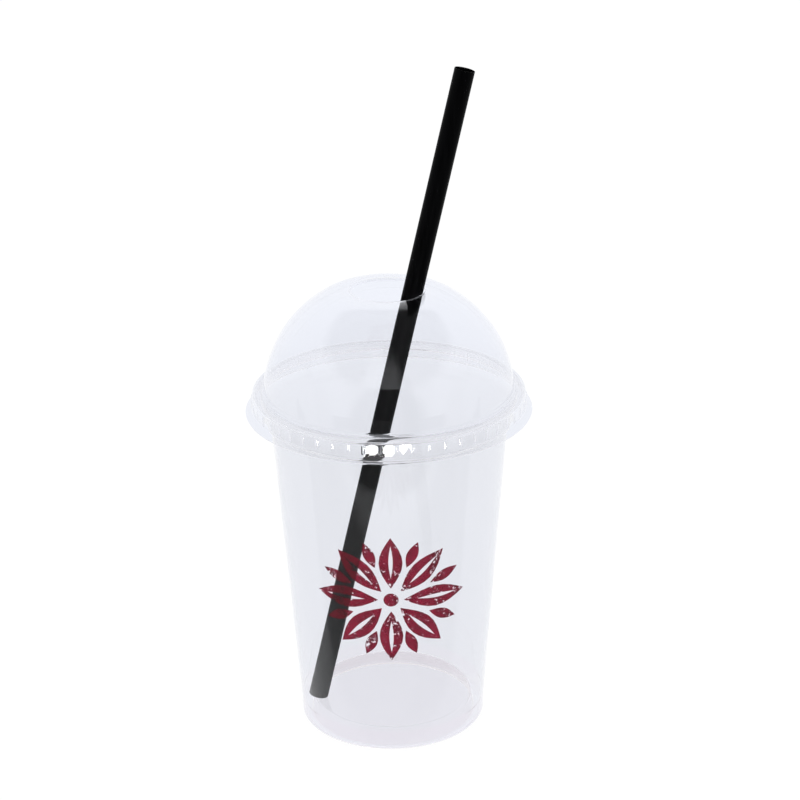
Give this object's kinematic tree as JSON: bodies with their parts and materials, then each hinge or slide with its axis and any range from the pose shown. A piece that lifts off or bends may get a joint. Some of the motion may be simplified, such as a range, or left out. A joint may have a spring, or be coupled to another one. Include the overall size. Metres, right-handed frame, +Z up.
{
  "type": "clear plastic cup with domed lid and straw",
  "caption": "Clear tapered drinks cup with a ribbed, lift-off dome lid, a leaning black straw and a plain red printed rosette.",
  "frame": {"origin": "centre of the cup's foot ring, on the ground", "axes": "+Z up along the cup's axis, -Y towards the printed side, +X the side that the straw's top leans to"},
  "size_m": [0.1006, 0.1006, 0.2395],
  "materials": {
    "clear_cup": "clear, glossy thermoformed sheet",
    "clear_lid": "clear, glossy thermoformed sheet",
    "black_plastic": "smooth black extruded plastic, soft gloss",
    "red_ink": "dark red printing ink, slightly worn"
  },
  "bodies": {
    "cup": {"cup": "clear_cup", "print": "red_ink"},
    "lid": {"dome_lid": "clear_lid", "straw": "black_plastic"}
  },
  "joints": [
    {"name": "lid_lift", "type": "slide", "parent": "cup", "child": "lid", "axis": [0, 0, 1], "range_m": [0, 0.05]}
  ]
}
